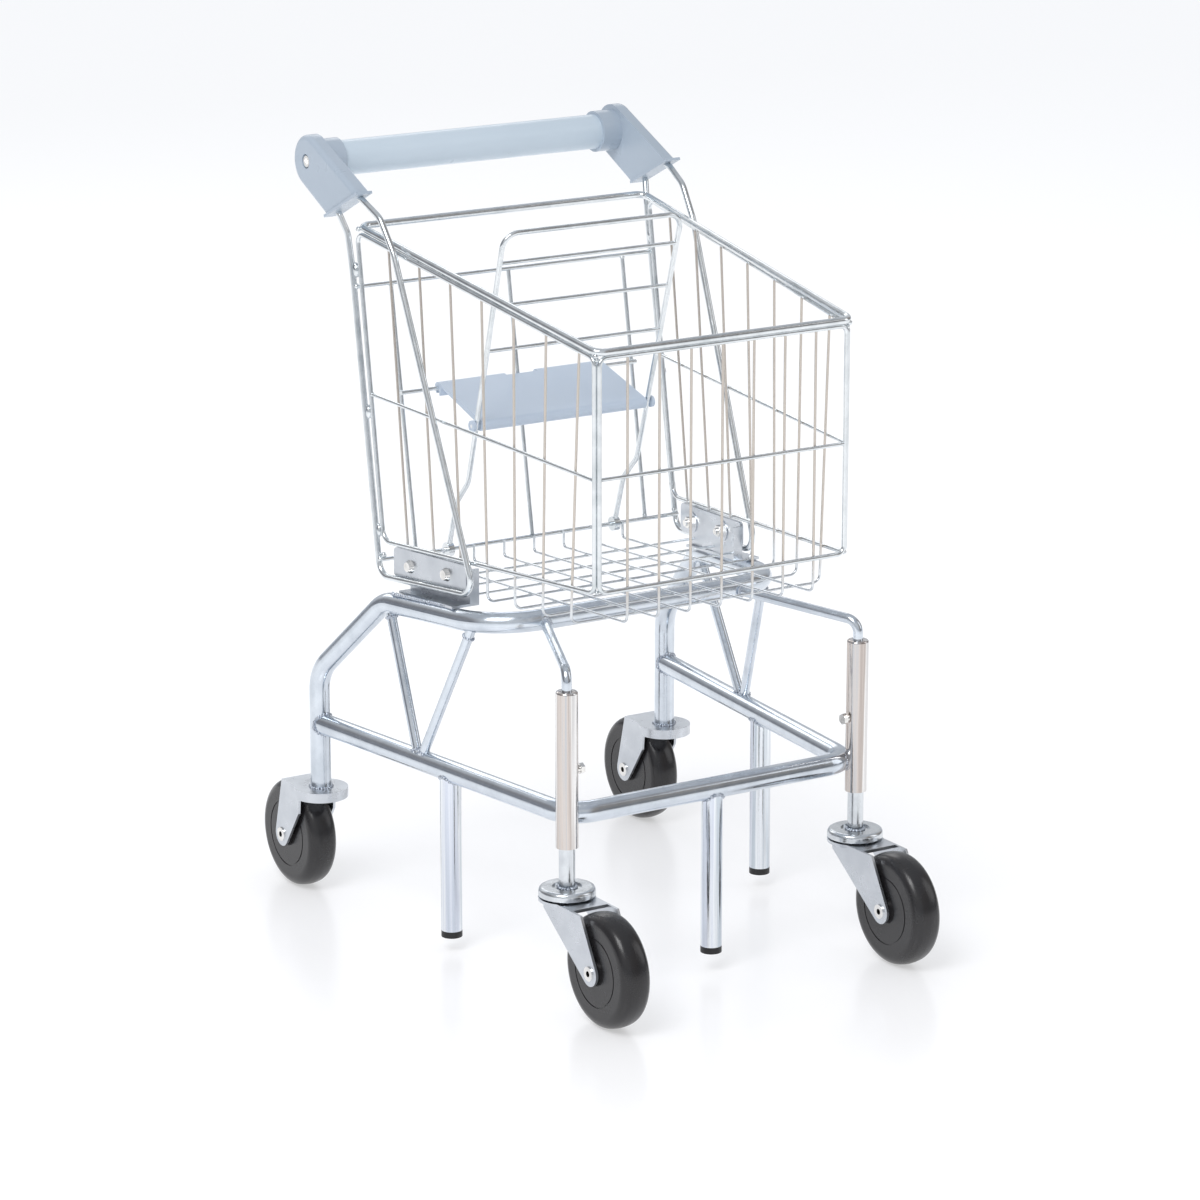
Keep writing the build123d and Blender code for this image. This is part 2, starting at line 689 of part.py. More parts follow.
with BuildPart() as inner_bracket:
    with BuildSketch(clamp_plane(SHEET)) as upright:
        Polygon(
            (BRACKET_FRONT_Y, tube_top(BRACKET_FRONT_Y)),
            (BRACKET_REAR_Y, tube_top(BRACKET_REAR_Y)),
            *BRACKET_TOP,
            align=None,
        )
        fillet(upright.vertices().group_by(Axis.Z)[-1], 3.0)
    extrude(amount=-SHEET)
    with BuildSketch(clamp_plane(2 * SHEET)):
        with Locations(*BOLTS):
            Circle(PAD_RADIUS)
    extrude(amount=-PAD_HEIGHT)
    with BuildSketch(Plane.XY.offset(tube_top(BRACKET_FRONT_Y))) as flange:
        Polygon(
            (bracket_x(0, SHEET), BRACKET_FRONT_Y),
            (bracket_x(0, SHEET), BRACKET_FRONT_Y + SHEET),
            (bracket_x(0, SHEET) - FLANGE_DEPTH, BRACKET_FRONT_Y + SHEET),
            (bracket_x(0, SHEET) - FLANGE_DEPTH, BRACKET_FRONT_Y),
            align=None,
        )
    extrude(amount=296.0 - tube_top(BRACKET_FRONT_Y) - 3.0)
    with BuildSketch(side_plane(bracket_x(0, SHEET))):
        Polygon(
            (BRACKET_FRONT_Y, tube_top(BRACKET_FRONT_Y) + 0.02),
            (BRACKET_REAR_Y, tube_top(BRACKET_REAR_Y) + 0.02),
            (BRACKET_REAR_Y, tube_top(BRACKET_REAR_Y) + SHEET),
            (BRACKET_FRONT_Y, tube_top(BRACKET_FRONT_Y) + SHEET),
            align=None,
        )
    extrude(amount=RUN_REAR[0] + FOOT_REACH - bracket_x(0, SHEET) - 6.0)
    with BuildSketch(clamp_plane(SHEET)):
        with Locations(*BOLTS):
            Circle(BOLT_RADIUS)
    extrude(amount=-3 * SHEET, mode=Mode.SUBTRACT)
save_pair(inner_bracket.part, "inner_bracket")

with BuildPart() as bracket_bolts:
    with BuildSketch(clamp_plane(0)):
        with Locations(*BOLTS):
            Circle(BOLT_HEAD)
    extrude(amount=BOLT_DOME, taper=24)
    with BuildSketch(clamp_plane(0)):
        with Locations(*BOLTS):
            Circle(BOLT_RADIUS)
    extrude(amount=-BOLT_LENGTH)
    mirror(about=Plane.YZ)
save(bracket_bolts.part, "bracket_bolts")

with BuildPart() as bracket_nuts:
    with BuildSketch(clamp_plane(2 * SHEET + PAD_HEIGHT)):
        with Locations(*BOLTS):
            RegularPolygon(NUT_RADIUS, 6)
            Circle(BOLT_RADIUS, mode=Mode.SUBTRACT)
    extrude(amount=-NUT_HEIGHT)
    mirror(about=Plane.YZ)
save(bracket_nuts.part, "bracket_nuts")

# ---------------------------------------------------------------- handle
CORE_END_X = 128.0
SCREW_RADIUS = 2.0
SCREW_LENGTH = 18.0
SCREW_HEAD = 4.4
SCREW_WELL = 5.6
SCREW_WELL_DEPTH = 3.0
SCREW_HEAD_HEIGHT = 2.4
SCREW_SOCKET = 2.2
SCREW_SOCKET_DEPTH = 1.4
MOUTH_LOW = (172.0, 532.5)
MOUTH_HIGH = (124.0, 556.2)
MOUTH_ANGLE = math.degrees(math.atan2(MOUTH_HIGH[1] - MOUTH_LOW[1], MOUTH_HIGH[0] - MOUTH_LOW[0]))
MOUTH_MIDDLE = between(MOUTH_LOW, MOUTH_HIGH, 0.5)
MOUTH_LENGTH = math.dist(MOUTH_LOW, MOUTH_HIGH)
LIP_REACH = 1.3
LIP_DEPTH = 2.0
CAP_EDGE = 4.0

with BuildPart() as handle_grip:
    with BuildSketch(side_plane(-GRIP_HALF)):
        with Locations((HANDLE_Y, HANDLE_Z)):
            Circle(GRIP_RADIUS)
            Circle(CORE_RADIUS, mode=Mode.SUBTRACT)
    extrude(amount=2 * GRIP_HALF)
save(handle_grip.part, "handle_grip")

with BuildPart() as handle_core:
    with BuildSketch(side_plane(-CORE_END_X)):
        with Locations((HANDLE_Y, HANDLE_Z)):
            Circle(CORE_RADIUS)
    extrude(amount=2 * CORE_END_X)
    for start in (-CORE_END_X, CORE_END_X - SCREW_LENGTH + CAP_OUTER_X - CORE_END_X):
        with BuildSketch(side_plane(start)):
            with Locations((HANDLE_Y, HANDLE_Z)):
                Circle(SCREW_RADIUS)
        extrude(amount=SCREW_LENGTH - CAP_OUTER_X + CORE_END_X, mode=Mode.SUBTRACT)
save(handle_core.part, "handle_core")

with BuildPart() as handle_cap:
    with BuildSketch(side_plane(CAP_INNER_X)):
        with Locations((HANDLE_Y, HANDLE_Z)):
            Circle(CAP_END_RADIUS)
        Polygon(MOUTH_LOW, MOUTH_HIGH, (HANDLE_Y, HANDLE_Z), align=None)
        make_hull()
    extrude(amount=CAP_OUTER_X - CAP_INNER_X)
    fillet(handle_cap.faces().sort_by(Axis.X)[-1].edges(), CAP_EDGE)
    with BuildSketch(side_plane(GRIP_HALF)):
        with Locations((HANDLE_Y, HANDLE_Z)):
            Circle(COLLAR_RADIUS)
    extrude(amount=CAP_INNER_X - GRIP_HALF)
    with BuildSketch(side_plane(CAP_INNER_X - LIP_REACH)):
        with Locations(Location(MOUTH_MIDDLE, MOUTH_ANGLE)):
            Rectangle(MOUTH_LENGTH + 2 * LIP_REACH, LIP_DEPTH, align=(Align.CENTER, Align.MAX))
    extrude(amount=CAP_OUTER_X - CAP_INNER_X + 2 * LIP_REACH)
    for radius, start, length in (
        (CORE_RADIUS, GRIP_HALF, CORE_END_X - GRIP_HALF),
        (SCREW_RADIUS, GRIP_HALF, CAP_OUTER_X - GRIP_HALF),
        (SCREW_WELL, CAP_OUTER_X - SCREW_WELL_DEPTH, SCREW_WELL_DEPTH),
    ):
        with BuildSketch(side_plane(start)):
            with Locations((HANDLE_Y, HANDLE_Z)):
                Circle(radius)
        extrude(amount=length, mode=Mode.SUBTRACT)
    add(handle_loop.part, mode=Mode.SUBTRACT)
save_pair(handle_cap.part, "handle_cap")

with BuildPart() as cap_screws:
    for radius, start, length in (
        (SCREW_RADIUS, CAP_OUTER_X - SCREW_LENGTH, SCREW_LENGTH - SCREW_WELL_DEPTH),
        (SCREW_HEAD, CAP_OUTER_X - SCREW_WELL_DEPTH, SCREW_HEAD_HEIGHT),
    ):
        with BuildSketch(side_plane(start)):
            with Locations((HANDLE_Y, HANDLE_Z)):
                Circle(radius)
        extrude(amount=length)
    with BuildSketch(cap_screws.faces().sort_by(Axis.X)[-1]):
        RegularPolygon(SCREW_SOCKET, 6)
    extrude(amount=-SCREW_SOCKET_DEPTH, mode=Mode.SUBTRACT)
    mirror(about=Plane.YZ)
save(cap_screws.part, "cap_screws")

# ---------------------------------------------------------------- folding doll seat
HINGE_X = 75.0
EYE_RADIUS = 5.6
EYE_WIDTH = 5.0
EYE_GAP = 0.08
SEAT_KNEE_LOW = (75.0, 96.8, 318.0)
SEAT_KNEE_HIGH = (75.6, 78.5, 337.0)
SEAT_TOP = (78.0, 20.3, 537.0)
SEAT_BENDS = [12, 16, 12, 12, 16, 12]
SEAT_BARS = [513.8, 479.8, 444.1, 384.0]
SEAT_BAR_RADIUS = 1.5
PIVOT_Y = at_z(SEAT_KNEE_HIGH, SEAT_TOP, SEAT_BARS[-1])[1]
PIVOT_Z = SEAT_BARS[-1]
PIVOT_END = 80.7
TIP_START = 78.5

with BuildPart() as seat_frame:
    bent_rod(
        across([(HINGE_X, LOW_CROSS_Y - 1.0, LOW_CROSS_Z + 3.2), SEAT_KNEE_LOW, SEAT_KNEE_HIGH, SEAT_TOP]),
        SEAT_BENDS,
        SEAT_WIRE,
    )
    for x in (-HINGE_X, HINGE_X):
        with BuildSketch(side_plane(x - EYE_WIDTH / 2)):
            with Locations((LOW_CROSS_Y, LOW_CROSS_Z)):
                Circle(EYE_RADIUS)
        extrude(amount=EYE_WIDTH)
    with BuildSketch(side_plane(-HINGE_X - EYE_WIDTH)):
        with Locations((LOW_CROSS_Y, LOW_CROSS_Z)):
            Circle(CROSS_WIRE / 2 + EYE_GAP)
    extrude(amount=2 * HINGE_X + 2 * EYE_WIDTH, mode=Mode.SUBTRACT)
save(seat_frame.part, "seat_frame")

with BuildPart() as seat_bars:
    for z in SEAT_BARS:
        x, y, z = at_z(SEAT_KNEE_HIGH, SEAT_TOP, z)
        reach = PIVOT_END if z == PIVOT_Z else x
        straight_rod((-reach, y, z), (reach, y, z), 2 * SEAT_BAR_RADIUS)
    add(seat_frame.part, mode=Mode.SUBTRACT)
save(seat_bars.part, "seat_bars")

ROLL_RADIUS = 4.4
HOOK_RADIUS = 4.6
SLOT_HALF = SEAT_BAR_WIRE / 2 + 0.1
PLATE_HALF = 73.2
NOTCH_HALF = 14.0
PLATE_THICK = 3.5

with BuildPart() as seat_bar_tips:
    for start in (-PIVOT_END, TIP_START):
        with BuildSketch(side_plane(start)):
            with Locations((PIVOT_Y, PIVOT_Z)):
                Circle(ROLL_RADIUS)
                Circle(SEAT_BAR_RADIUS, mode=Mode.SUBTRACT)
        extrude(amount=PIVOT_END - TIP_START)
save(seat_bar_tips.part, "seat_bar_tips")

# moulded plate: front roll turns on the lowest bar, rear edge hooks over the fixed bar
TILT = math.atan2(SEAT_BAR_Z - PIVOT_Z, SEAT_BAR_Y - PIVOT_Y)
LIFT = (-math.sin(TILT), math.cos(TILT))


def lifted(point, height):
    """Point of the side view moved square to the plate."""
    return (point[0] + height * LIFT[0], point[1] + height * LIFT[1])


with BuildPart() as seat_plate:
    with BuildSketch(side_plane(-PLATE_HALF)):
        with Locations((PIVOT_Y, PIVOT_Z)):
            Circle(ROLL_RADIUS)
        with Locations((SEAT_BAR_Y, SEAT_BAR_Z)):
            Circle(HOOK_RADIUS)
        make_hull()
        Polygon(
            lifted((PIVOT_Y + ROLL_RADIUS, PIVOT_Z), ROLL_RADIUS - PLATE_THICK),
            lifted((PIVOT_Y + ROLL_RADIUS, PIVOT_Z), -3 * ROLL_RADIUS),
            lifted((SEAT_BAR_Y - HOOK_RADIUS, SEAT_BAR_Z), -3 * ROLL_RADIUS),
            lifted((SEAT_BAR_Y - HOOK_RADIUS, SEAT_BAR_Z), HOOK_RADIUS - PLATE_THICK),
            align=None,
            mode=Mode.SUBTRACT,
        )
        with Locations((PIVOT_Y, PIVOT_Z)):
            Circle(SEAT_BAR_RADIUS + EYE_GAP, mode=Mode.SUBTRACT)
        with Locations((SEAT_BAR_Y, SEAT_BAR_Z)):
            Circle(SLOT_HALF, mode=Mode.SUBTRACT)
            Rectangle(2 * SLOT_HALF, 3 * HOOK_RADIUS, align=(Align.CENTER, Align.MAX), mode=Mode.SUBTRACT)
    extrude(amount=2 * PLATE_HALF)
    with Locations((0, SEAT_BAR_Y - 3.0, SEAT_BAR_Z)):
        Box(2 * NOTCH_HALF, 20, 20, align=(Align.CENTER, Align.MIN, Align.CENTER), mode=Mode.SUBTRACT)
save(seat_plate.part, "seat_plate")
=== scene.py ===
import math
import random

import bmesh
import bpy
from mathutils import Matrix, Vector


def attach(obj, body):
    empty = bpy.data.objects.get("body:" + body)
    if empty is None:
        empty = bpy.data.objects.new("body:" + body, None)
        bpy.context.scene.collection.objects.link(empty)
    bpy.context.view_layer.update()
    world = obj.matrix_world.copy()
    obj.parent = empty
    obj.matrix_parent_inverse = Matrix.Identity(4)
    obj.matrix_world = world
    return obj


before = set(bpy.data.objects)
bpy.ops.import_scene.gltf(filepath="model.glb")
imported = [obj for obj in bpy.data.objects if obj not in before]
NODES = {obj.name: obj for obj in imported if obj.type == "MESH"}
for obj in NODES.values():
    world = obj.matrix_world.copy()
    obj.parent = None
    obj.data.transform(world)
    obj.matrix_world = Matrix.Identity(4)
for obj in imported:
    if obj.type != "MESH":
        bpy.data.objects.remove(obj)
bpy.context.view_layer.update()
SEED = 7
random.seed(SEED)


# ---------------------------------------------------------------- shader helpers
def new_material(name):
    """An empty node material: the material, its tree and its shader."""
    material = bpy.data.materials.new(name)
    material.use_nodes = True
    tree = material.node_tree
    return material, tree, tree.nodes["Principled BSDF"]


def noise(nt, scale, detail=4.0, rough=0.55, stretch=(1, 1, 1)):
    """Noise over the object's own coordinates, drawn out along an axis where stretch is small."""
    coord = nt.nodes.new("ShaderNodeTexCoord")
    mapping = nt.nodes.new("ShaderNodeMapping")
    mapping.inputs["Scale"].default_value = stretch
    tex = nt.nodes.new("ShaderNodeTexNoise")
    tex.inputs["Scale"].default_value = scale
    tex.inputs["Detail"].default_value = detail
    tex.inputs["Roughness"].default_value = rough
    nt.links.new(coord.outputs["Object"], mapping.inputs["Vector"])
    nt.links.new(mapping.outputs["Vector"], tex.inputs["Vector"])
    return tex.outputs["Fac"]


def ramp(nt, value, stops):
    """Colour ramp with a (position, colour) pair for each stop."""
    node = nt.nodes.new("ShaderNodeValToRGB")
    while len(node.color_ramp.elements) < len(stops):
        node.color_ramp.elements.new(0.5)
    for element, (position, colour) in zip(node.color_ramp.elements, stops):
        element.position = position
        element.color = (*colour, 1)
    nt.links.new(value, node.inputs["Fac"])
    return node.outputs["Color"]


def spread(nt, value, low, high):
    """The middle of a noise's range mapped to run from low to high."""
    node = nt.nodes.new("ShaderNodeMapRange")
    node.inputs["From Min"].default_value = 0.3
    node.inputs["From Max"].default_value = 0.7
    node.inputs["To Min"].default_value = low
    node.inputs["To Max"].default_value = high
    nt.links.new(value, node.inputs["Value"])
    return node.outputs["Result"]


def bump(nt, bsdf, value, strength, distance):
    """Fine relief from a noise value."""
    node = nt.nodes.new("ShaderNodeBump")
    node.inputs["Strength"].default_value = strength
    node.inputs["Distance"].default_value = distance
    nt.links.new(value, node.inputs["Height"])
    nt.links.new(node.outputs["Normal"], bsdf.inputs["Normal"])


def mix_colours(nt, factor, first, second, blend="MIX"):
    """Mix of two colours, where each input is a socket or a plain value."""
    node = nt.nodes.new("ShaderNodeMix")
    node.data_type = "RGBA"
    node.blend_type = blend
    for value, socket in ((factor, 0), (first, 6), (second, 7)):
        if isinstance(value, bpy.types.NodeSocket):
            nt.links.new(value, node.inputs[socket])
        else:
            node.inputs[socket].default_value = value
    return node.outputs[2]


# ---------------------------------------------------------------- materials
# painted reflection: the thin wires turn warm above this height in object Z, standing in for warm
# reflections
PAINTED_REFLECTION_FROM = 0.285
PAINTED_REFLECTION_TO = 0.31
# clouds drawn out along Z into streaks, used for painted reflection bands on the upright sleeves and
# legs
REFLECTION_STREAKS = (1, 1, 0.012)


def cloudy(dark, light):
    """Ramp stops for cloudy plating: light patches between darker ones."""
    return [(0.30, dark), (0.52, light), (0.75, dark)]


def metal(name, stops, rough, cloud=22, fine=900, dents=0.00025, painted_reflection_tint=None, stretch=(1, 1, 1)):
    """Zinc plating: cloudy tint, patchy polish and a fine drawn-metal grain.

    A warm tint, when given, is a painted reflection over what stands above the basket floor; stretch
    draws the clouds out into streaks.
    """
    material, nt, bsdf = new_material(name)
    bsdf.inputs["Metallic"].default_value = 1.0
    colour = ramp(nt, noise(nt, cloud, 6, 0.6, stretch), stops)
    # painted reflection: a warm tint mixed over everything above the basket floor
    if painted_reflection_tint:
        coord = nt.nodes.new("ShaderNodeTexCoord")
        split = nt.nodes.new("ShaderNodeSeparateXYZ")
        nt.links.new(coord.outputs["Object"], split.inputs["Vector"])
        height = ramp(nt, split.outputs["Z"], [(PAINTED_REFLECTION_FROM, (0, 0, 0)), (PAINTED_REFLECTION_TO, (1, 1, 1))])
        colour = mix_colours(nt, height, colour, (*painted_reflection_tint, 1))
    nt.links.new(colour, bsdf.inputs["Base Color"])
    polish = spread(nt, noise(nt, cloud * 3, 5, 0.6), rough * 0.72, rough * 1.35)
    nt.links.new(polish, bsdf.inputs["Roughness"])
    bump(nt, bsdf, noise(nt, fine, 3, 0.5), 0.10, dents)
    return material


def plastic(name, low, high, rough, grain=1600, depth=0.0004, coat=0.0):
    """Moulded plastic: faint flow shading, uneven sheen and a fine matt grain."""
    material, nt, bsdf = new_material(name)
    nt.links.new(ramp(nt, noise(nt, 9, 4, 0.5), [(0.32, low), (0.68, high)]), bsdf.inputs["Base Color"])
    sheen = spread(nt, noise(nt, 55, 4, 0.6), rough * 0.85, rough * 1.18)
    nt.links.new(sheen, bsdf.inputs["Roughness"])
    bsdf.inputs["Coat Weight"].default_value = coat
    bsdf.inputs["Coat Roughness"].default_value = 0.25
    bump(nt, bsdf, noise(nt, grain, 2, 0.5), 0.12, depth)
    return material


# plating tone mixed with painted reflection: bright highlight bands and brown reflection bands streaked
# along the upright sleeves and anti-tip legs
SLEEVE_REFLECTION_STOPS = [
    (0.30, (0.50, 0.53, 0.57)),
    (0.40, (0.66, 0.60, 0.56)),
    (0.47, (0.50, 0.44, 0.41)),
    (0.54, (0.84, 0.83, 0.82)),
    (0.62, (0.66, 0.65, 0.65)),
    (0.72, (0.50, 0.52, 0.56)),
]
POST_REFLECTION_STOPS = [
    (0.30, (0.52, 0.55, 0.64)),
    (0.40, (0.72, 0.76, 0.83)),
    (0.47, (0.56, 0.62, 0.68)),
    (0.54, (0.86, 0.89, 0.92)),
    (0.62, (0.66, 0.70, 0.79)),
    (0.72, (0.50, 0.56, 0.62)),
]
THIN_STOPS = cloudy((0.56, 0.59, 0.62), (0.74, 0.77, 0.80))

TUBE = metal("zinc_tube", cloudy((0.55, 0.60, 0.66), (0.70, 0.75, 0.81)), 0.17)
WIRE = metal("zinc_wire", cloudy((0.62, 0.66, 0.68), (0.80, 0.83, 0.85)), 0.17, 40, 1300)
# the sleeves and anti-tip legs carry painted highlight and reflection streaks
SLEEVE = metal("zinc_sleeve", SLEEVE_REFLECTION_STOPS, 0.13, 95, stretch=REFLECTION_STREAKS)
POST = metal("zinc_post", POST_REFLECTION_STOPS, 0.16, 80, stretch=REFLECTION_STREAKS)
# the thin basket wires carry a painted warm reflection on their upper parts
THIN = metal("zinc_thin_wire", THIN_STOPS, 0.20, 40, 1300, painted_reflection_tint=(0.60, 0.55, 0.50))
FLAT = metal("zinc_sheet", cloudy((0.57, 0.60, 0.64), (0.66, 0.69, 0.73)), 0.30, 22, 700, 0.0002)
RACE = metal("zinc_race", cloudy((0.54, 0.57, 0.60), (0.72, 0.75, 0.78)), 0.20, 30, 800)
WELD = metal("weld_bead", cloudy((0.26, 0.29, 0.36), (0.60, 0.64, 0.70)), 0.32, 160, 1500, 0.0006)
NICKEL = metal("nickel_screw", cloudy((0.70, 0.69, 0.67), (0.90, 0.89, 0.87)), 0.12, 60)
DARK = metal("dark_steel", cloudy((0.05, 0.055, 0.065), (0.16, 0.17, 0.19)), 0.42, 60)
GRIP = plastic("grip_plastic", (0.60, 0.70, 0.79), (0.64, 0.74, 0.83), 0.32, 1500, 0.0005, 0.15)
CAP = plastic("cap_plastic", (0.43, 0.505, 0.59), (0.47, 0.545, 0.635), 0.30, 1500, 0.0005, 0.20)
SEAT = plastic("seat_plastic", (0.54, 0.63, 0.75), (0.58, 0.67, 0.79), 0.36, 1300, 0.0005, 0.10)
TYRE = plastic("wheel_plastic", (0.012, 0.011, 0.012), (0.024, 0.023, 0.025), 0.25, 900, 0.0006, 0.12)
BLACK = plastic("cap_black", (0.006, 0.006, 0.007), (0.016, 0.016, 0.017), 0.42, 1000, 0.0006)
WOOD = plastic("core_wood", (0.42, 0.28, 0.15), (0.58, 0.42, 0.24), 0.6, 300, 0.0008)

# the first entry whose words a node's name contains gives its material; the last one takes all the rest
MATERIALS = (
    (TYRE, ("_wheel_",)),
    (BLACK, ("foot_caps",)),
    (GRIP, ("handle_grip",)),
    (CAP, ("handle_cap",)),
    (WOOD, ("handle_core",)),
    (SEAT, ("seat_plate", "seat_bar_tips")),
    (NICKEL, ("bracket_bolts", "bracket_nuts", "_screws", "_axle_")),
    (FLAT, ("_fork_", "clamp_plate", "inner_bracket")),
    (RACE, ("caster_stem",)),
    (SLEEVE, ("front_sleeve",)),
    (POST, ("anti_tip_leg",)),
    (DARK, ("_bush_", "race_balls")),
    (THIN, ("basket_side_wires", "basket_cross_wires", "basket_front_wires")),
    (WIRE, ("basket", "rear_cross", "gate_wires", "handle_loop", "seat_")),
    (TUBE, ("",)),
)


def material_for(name):
    """The material of a CAD node."""
    return next(material for material, words in MATERIALS if any(word in name for word in words))


for name, node in NODES.items():
    node.data.materials.clear()
    node.data.materials.append(material_for(name))


# ---------------------------------------------------------------- piece builders
MM = 0.001
UP = Vector((0, 0, 1))


def v(x, y, z):
    """A place given in millimetres."""
    return Vector((x, y, z)) * MM


def mirror_x(p):
    """The same place on the other side of the cart."""
    return Vector((-p.x, p.y, p.z))


def both(run):
    """Runs a builder for the right side and again for the left."""
    for flip in (lambda p: p, mirror_x):
        run(flip)


def at_y(line, y):
    """Place on a line, given its Y in millimetres."""
    a, b = line
    return a.lerp(b, (y * MM - a.y) / (b.y - a.y))


def at_z(line, z):
    """Place on a line, given its Z in millimetres."""
    a, b = line
    return a.lerp(b, (z * MM - a.z) / (b.z - a.z))


def piece(name, bm, material, body):
    """Makes a smooth-shaded piece that rides on a body."""
    mesh = bpy.data.meshes.new(name)
    bmesh.ops.recalc_face_normals(bm, faces=bm.faces)
    bm.to_mesh(mesh)
    bm.free()
    mesh.materials.append(material)
    for face in mesh.polygons:
        face.use_smooth = True
    obj = bpy.data.objects.new(name, mesh)
    bpy.context.scene.collection.objects.link(obj)
    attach(obj, body)


def frame_of(axis):
    """Two directions square to an axis and to each other, and the axis itself at length 1."""
    axis = axis.normalized()
    side = axis.cross(UP)
    if side.length < 0.1:
        side = axis.cross(Vector((0, 1, 0)))
    side.normalize()
    return side, axis.cross(side).normalized(), axis


def bead(bm, place, radius, squash=(1, 1, 1), axis=UP):
    """One rough weld bead, a lumpy ball of a radius in millimetres, squashed along its axis."""
    turned = Matrix(frame_of(axis)).transposed().to_4x4()
    matrix = Matrix.Translation(place) @ turned @ Matrix.Diagonal((*squash, 1))
    made = bmesh.ops.create_icosphere(bm, subdivisions=2, radius=radius * MM, matrix=matrix)
    for vert in made["verts"]:
        vert.co = place + (vert.co - place) * random.uniform(0.90, 1.10)


def bead_ring(bm, centre, axis, radius, size, count):
    """A weld run round a rod: overlapping beads on a circle."""
    a, b, _ = frame_of(axis)
    for k in range(count):
        t = 2 * math.pi * (k + random.uniform(-0.2, 0.2)) / count
        p = centre + (a * math.cos(t) + b * math.sin(t)) * radius * MM
        bead(bm, p, size * random.uniform(0.85, 1.15), (1.15, 1.15, 0.8), axis)


def bead_saddle(bm, centre, branch, tube, tube_radius, branch_radius, size, count):
    """A weld run where a branch meets the side of a tube: centre is on the tube's own axis."""
    branch = branch.normalized()
    side = branch.cross(tube).normalized()
    along = side.cross(branch)
    for k in range(count):
        t = 2 * math.pi * (k + random.uniform(-0.2, 0.2)) / count
        sideways = branch_radius * math.cos(t)
        depth = math.sqrt(max(tube_radius ** 2 - sideways ** 2, (0.45 * tube_radius) ** 2))
        p = centre + (branch * depth + side * sideways + along * branch_radius * math.sin(t)) * MM
        bead(bm, p, size * random.uniform(0.85, 1.15), (1.1, 1.1, 0.85), branch)


def bead_line(bm, start, end, size, count):
    """A weld run along a straight seam."""
    for k in range(count):
        p = start.lerp(end, (k + random.uniform(-0.15, 0.15)) / (count - 1))
        bead(bm, p, size * random.uniform(0.85, 1.15), (1, 1, 0.8), end - start)


# ---------------------------------------------------------------- welds of the base
TUBE_RADIUS = 8.0
RING_RADIUS = 8.2
SLEEVE_RADIUS = 8.25
ROD_RADIUS = 3.7
CONTACT_RADIUS = 5.3
RING_SIDE = (v(158.1, 161.3, 139.7), v(123.6, -142.0, 142.0))
REAR_LEG = v(158.6, 165.3, 139.7)
REAR_LEG_FOOT = v(158.6, 165.3, 88.5)
SIDE_LEG = v(139.72, -0.5, 141.0)
CENTRE_LEG = v(0, -142, 142)
SLEEVE_AT_RING = v(127.6, -145, 142)
RING_CORNER = v(118.5, -137.5, 142)
STAY_START = v(87.0, -50.6, 258.6)
STAY_RUN = v(43.6, -102, -8)
BRACKET_SEAM = (v(134.6, 2.0, 265.6), v(143.8, 76.0, 260.7))
BRACES = (
    (v(145.9, 36.6, 145.0), v(140.4, 86.6, 248.2)),
    (v(145.4, 31.4, 145.0), v(129.6, -16.6, 254.0)),
)
BRACE_FOOT_WELD = 4.2 * MM
BRACE_HEAD_WELD = 8.6 * MM

bm = bmesh.new()


def base_welds(flip):
    """Welds of one side of the base."""
    ring_run = flip(RING_SIDE[1]) - flip(RING_SIDE[0])
    bead_saddle(bm, flip(REAR_LEG), ring_run, UP, TUBE_RADIUS, RING_RADIUS, 1.5, 22)
    for foot, head in BRACES:
        run = flip((head - foot).normalized())
        bead_ring(bm, flip(foot) + run * BRACE_FOOT_WELD, run, ROD_RADIUS, 1.3, 11)
        bead_ring(bm, flip(head) - run * BRACE_HEAD_WELD, run, ROD_RADIUS, 1.3, 12)
    bead_ring(bm, flip(STAY_START), flip(STAY_RUN), ROD_RADIUS, 1.4, 12)
    bead_ring(bm, flip(REAR_LEG_FOOT), UP, 8.1, 1.4, 22)
    bead_saddle(bm, flip(SIDE_LEG), -UP, ring_run, RING_RADIUS, TUBE_RADIUS, 1.4, 22)
    to_corner = flip(RING_CORNER - SLEEVE_AT_RING)
    bead_saddle(bm, flip(SLEEVE_AT_RING), to_corner, UP, SLEEVE_RADIUS, CONTACT_RADIUS, 1.5, 16)
    bead_line(bm, flip(BRACKET_SEAM[0]), flip(BRACKET_SEAM[1]), 1.5, 34)


both(base_welds)
bead_saddle(bm, CENTRE_LEG, -UP, v(1, 0, 0), RING_RADIUS, TUBE_RADIUS, 1.4, 22)
piece("welds_base", bm, WELD, "cart")

# the caster stems are welded into their upper race cups
RACE_WELD = v(127.6, -145, 89.4)

bm = bmesh.new()
both(lambda flip: bead_ring(bm, flip(RACE_WELD), UP, 6.4, 1.3, 16))
piece("welds_race", bm, WELD, "cart")

